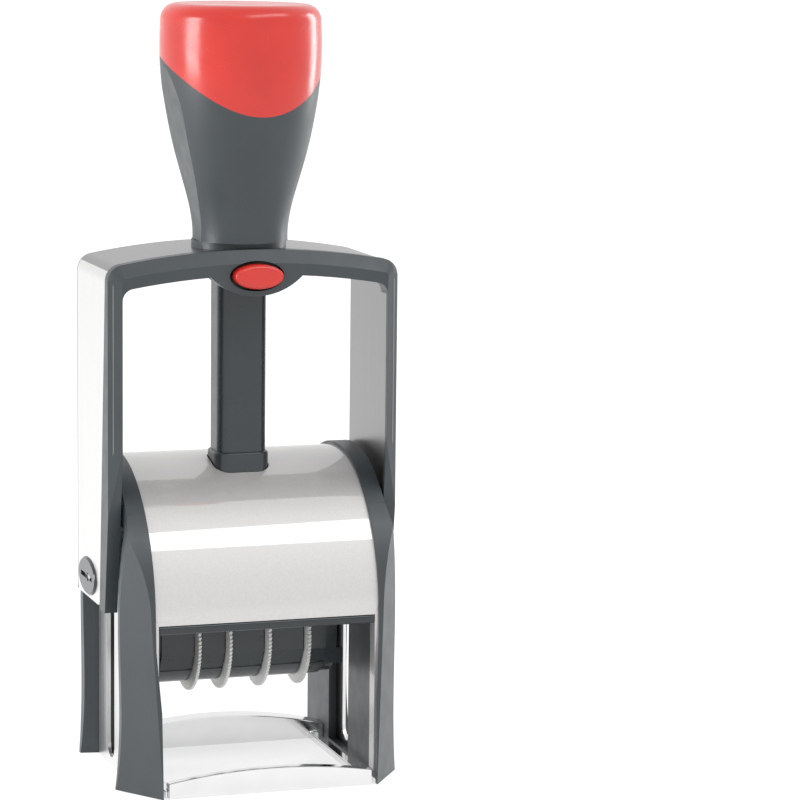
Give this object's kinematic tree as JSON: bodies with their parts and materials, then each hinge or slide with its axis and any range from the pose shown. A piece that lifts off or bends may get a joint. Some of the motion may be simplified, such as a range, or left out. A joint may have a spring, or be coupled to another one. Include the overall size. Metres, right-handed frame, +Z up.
{
  "type": "rotary date stamp",
  "caption": "Self-inking rotary date stamp: upright handle and steel bow slide down a column, flipping a band-wheel date unit from ink pad to paper.",
  "frame": {"origin": "on the table under the column, at the middle of the footprint", "axes": "+X to the right, +Y to the back where the wheels swing out, +Z up along the column"},
  "size_m": [0.0646, 0.055, 0.165],
  "materials": {
    "dark_plastic": "dark slate grey moulded plastic, satin",
    "satin_steel": "fine brushed stainless sheet",
    "bright_steel": "bright nickel plated",
    "turned_steel": "turned steel",
    "spring_steel": "drawn spring wire",
    "red_plastic": "glossy red moulded plastic",
    "light_plastic": "light grey moulded plastic",
    "platen_plastic": "grey moulded plastic",
    "band_rubber": "dark moulded rubber with raised type",
    "ink_felt": "dark blue ink soaked felt"
  },
  "bodies": {
    "base": {"side_frame_left": "dark_plastic", "side_frame_right": "dark_plastic", "slot_plate_left": "satin_steel", "slot_plate_right": "satin_steel", "imprint_frame": "bright_steel", "top_cover": "satin_steel", "cover_edge_strip": "dark_plastic", "bridge": "dark_plastic", "guide_column": "dark_plastic", "column_screw": "turned_steel", "frame_screws": "turned_steel", "return_spring": "spring_steel"},
    "carriage": {"bow_strap": "satin_steel", "front_trim": "dark_plastic", "back_trim": "dark_plastic", "latch_housing": "dark_plastic", "handle_saddle": "dark_plastic", "handle_grip": "dark_plastic", "handle_cap": "red_plastic", "spring_guide": "turned_steel", "grip_screws": "turned_steel", "axle_pin_left": "turned_steel", "axle_pin_right": "turned_steel", "axle_plug_left": "dark_plastic", "axle_plug_right": "dark_plastic", "button_spring": "spring_steel"},
    "button": {"lock_button": "red_plastic"},
    "print_unit": {"unit_cheek_left": "dark_plastic", "unit_cheek_right": "dark_plastic", "unit_housing": "dark_plastic", "platen": "platen_plastic", "wheel_shaft": "turned_steel", "date_band_day_tens": "band_rubber", "date_band_day_units": "band_rubber", "date_band_month": "band_rubber", "date_band_year": "band_rubber"},
    "wheel_day_tens": {"thumb_wheel_day_tens": "light_plastic"},
    "wheel_day_units": {"thumb_wheel_day_units": "light_plastic"},
    "wheel_month": {"thumb_wheel_month": "light_plastic"},
    "wheel_year": {"thumb_wheel_year": "light_plastic"},
    "cassette": {"pad_cassette": "dark_plastic", "ink_pad": "ink_felt"}
  },
  "joints": [
    {"name": "press", "type": "slide", "parent": "base", "child": "carriage", "axis": [0, 0, -1], "range_m": [0, 0.035], "stiffness_N_per_m": 600, "springref_m": -0.02, "deforming": ["return_spring"]},
    {"name": "unit_flip", "type": "hinge", "parent": "carriage", "child": "print_unit", "pos_m": [0, 0.004, 0.042], "axis": [1, 0, 0], "range_deg": [0, 180]},
    {"name": "button_push", "type": "slide", "parent": "carriage", "child": "button", "axis": [0, 1, 0], "range_m": [0, 0.002], "stiffness_N_per_m": 500, "springref_m": -0.002, "deforming": ["button_spring"]},
    {"name": "turn_day_tens", "type": "hinge", "parent": "print_unit", "child": "wheel_day_tens", "pos_m": [0, 0.004, 0.0281], "axis": [1, 0, 0], "continuous": true},
    {"name": "turn_day_units", "type": "hinge", "parent": "print_unit", "child": "wheel_day_units", "pos_m": [0, 0.004, 0.0281], "axis": [1, 0, 0], "continuous": true},
    {"name": "turn_month", "type": "hinge", "parent": "print_unit", "child": "wheel_month", "pos_m": [0, 0.004, 0.0281], "axis": [1, 0, 0], "continuous": true},
    {"name": "turn_year", "type": "hinge", "parent": "print_unit", "child": "wheel_year", "pos_m": [0, 0.004, 0.0281], "axis": [1, 0, 0], "continuous": true},
    {"name": "cassette_pull", "type": "slide", "parent": "base", "child": "cassette", "axis": [0, 1, 0], "range_m": [0, 0.034]}
  ],
  "couplings": [
    {"joint": "unit_flip", "follows": "press", "rad_per_m": 89.76}
  ]
}
